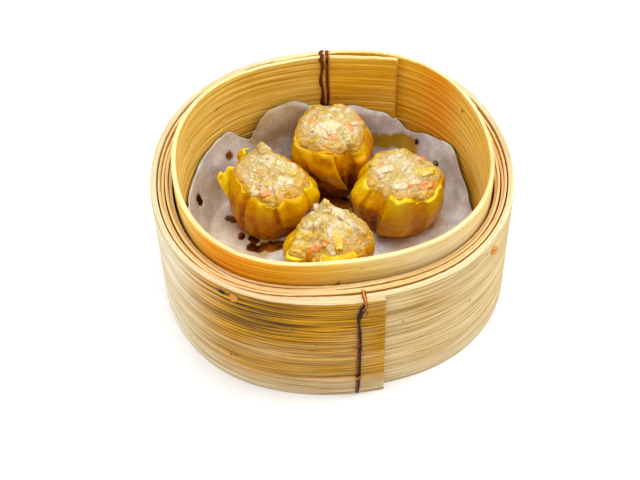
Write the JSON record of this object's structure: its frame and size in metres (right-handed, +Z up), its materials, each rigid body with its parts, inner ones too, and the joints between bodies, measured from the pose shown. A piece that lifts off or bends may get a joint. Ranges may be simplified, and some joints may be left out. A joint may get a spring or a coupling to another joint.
{
  "type": "siu mai dumplings in a bamboo steamer basket",
  "caption": "Open-topped pork siu mai in yellow wrappers, on perforated paper in a round two-hoop bamboo steamer basket.",
  "frame": {"origin": "middle of the object's box in plan, on the surface the basket stands on", "axes": "+Z up out of the basket; the sewn lap of the outer hoop faces -Y"},
  "size_m": [0.155, 0.154, 0.0713],
  "materials": {
    "bamboo_outer": "split bamboo, bare and smooth",
    "bamboo_inner": "split bamboo, darker and slightly glossy",
    "bamboo_filler": "cut edges of split bamboo",
    "bamboo_floor": "split bamboo, bare",
    "cane": "split cane, dark brown",
    "paper": "greaseproof paper, damp",
    "dough": "steamed yellow egg dough, moist",
    "mince": "steamed pork mince with carrot, moist"
  },
  "bodies": {
    "root": {"outer_hoop": "bamboo_outer", "inner_hoop": "bamboo_inner", "filler_outer": "bamboo_filler", "filler_inner": "bamboo_filler", "base_ring": "bamboo_floor", "slat_1": "bamboo_floor", "slat_2": "bamboo_floor", "slat_3": "bamboo_floor", "slat_4": "bamboo_floor", "slat_5": "bamboo_floor", "slat_6": "bamboo_floor", "slat_7": "bamboo_floor", "slat_8": "bamboo_floor", "slat_9": "bamboo_floor", "batten_1": "bamboo_floor", "batten_2": "bamboo_floor", "outer_tie": "cane", "inner_tie": "cane", "peg_left": "bamboo_filler", "peg_right": "bamboo_filler", "liner": "paper", "wrapper_1": "dough", "filling_1": "mince", "wrapper_2": "dough", "filling_2": "mince", "wrapper_3": "dough", "filling_3": "mince", "wrapper_4": "dough", "filling_4": "mince"}
  },
  "joints": []
}
